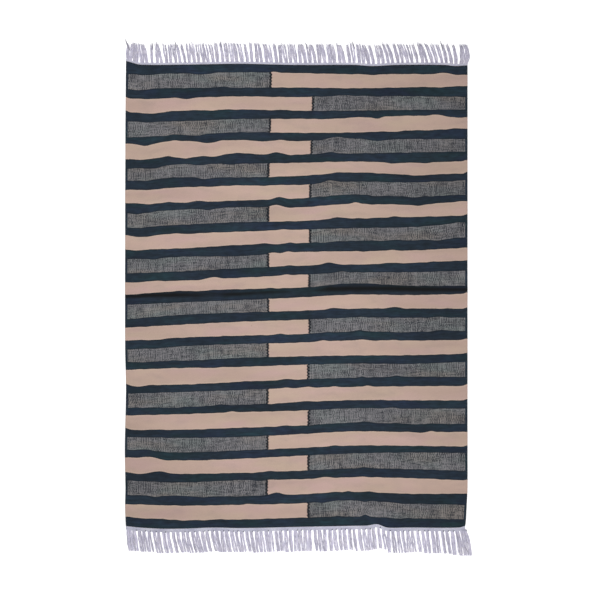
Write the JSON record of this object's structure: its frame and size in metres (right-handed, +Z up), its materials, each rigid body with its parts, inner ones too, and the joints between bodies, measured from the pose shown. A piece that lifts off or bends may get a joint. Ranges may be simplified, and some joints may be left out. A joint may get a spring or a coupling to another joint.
{
  "type": "flat-woven cotton rug",
  "caption": "Flat-woven cotton rug with navy stripes, staggered beige and grey blocks and a white fringe at both ends.",
  "frame": {"origin": "on the floor, under the middle of the whole rug with its fringes", "axes": "+X along the wefts, +Y along the warps towards the far fringe, +Z up from the floor"},
  "size_m": [1.2124, 1.7974, 0.0085],
  "materials": {
    "woven_cotton": "matt weft-faced weave, navy stripes between beige and grey pinstriped blocks",
    "warp_cotton": "matt undyed white cotton yarn, loosely twisted"
  },
  "bodies": {
    "root": {"rug_field": "woven_cotton", "fringe_far": "warp_cotton", "fringe_near": "warp_cotton"}
  },
  "joints": []
}
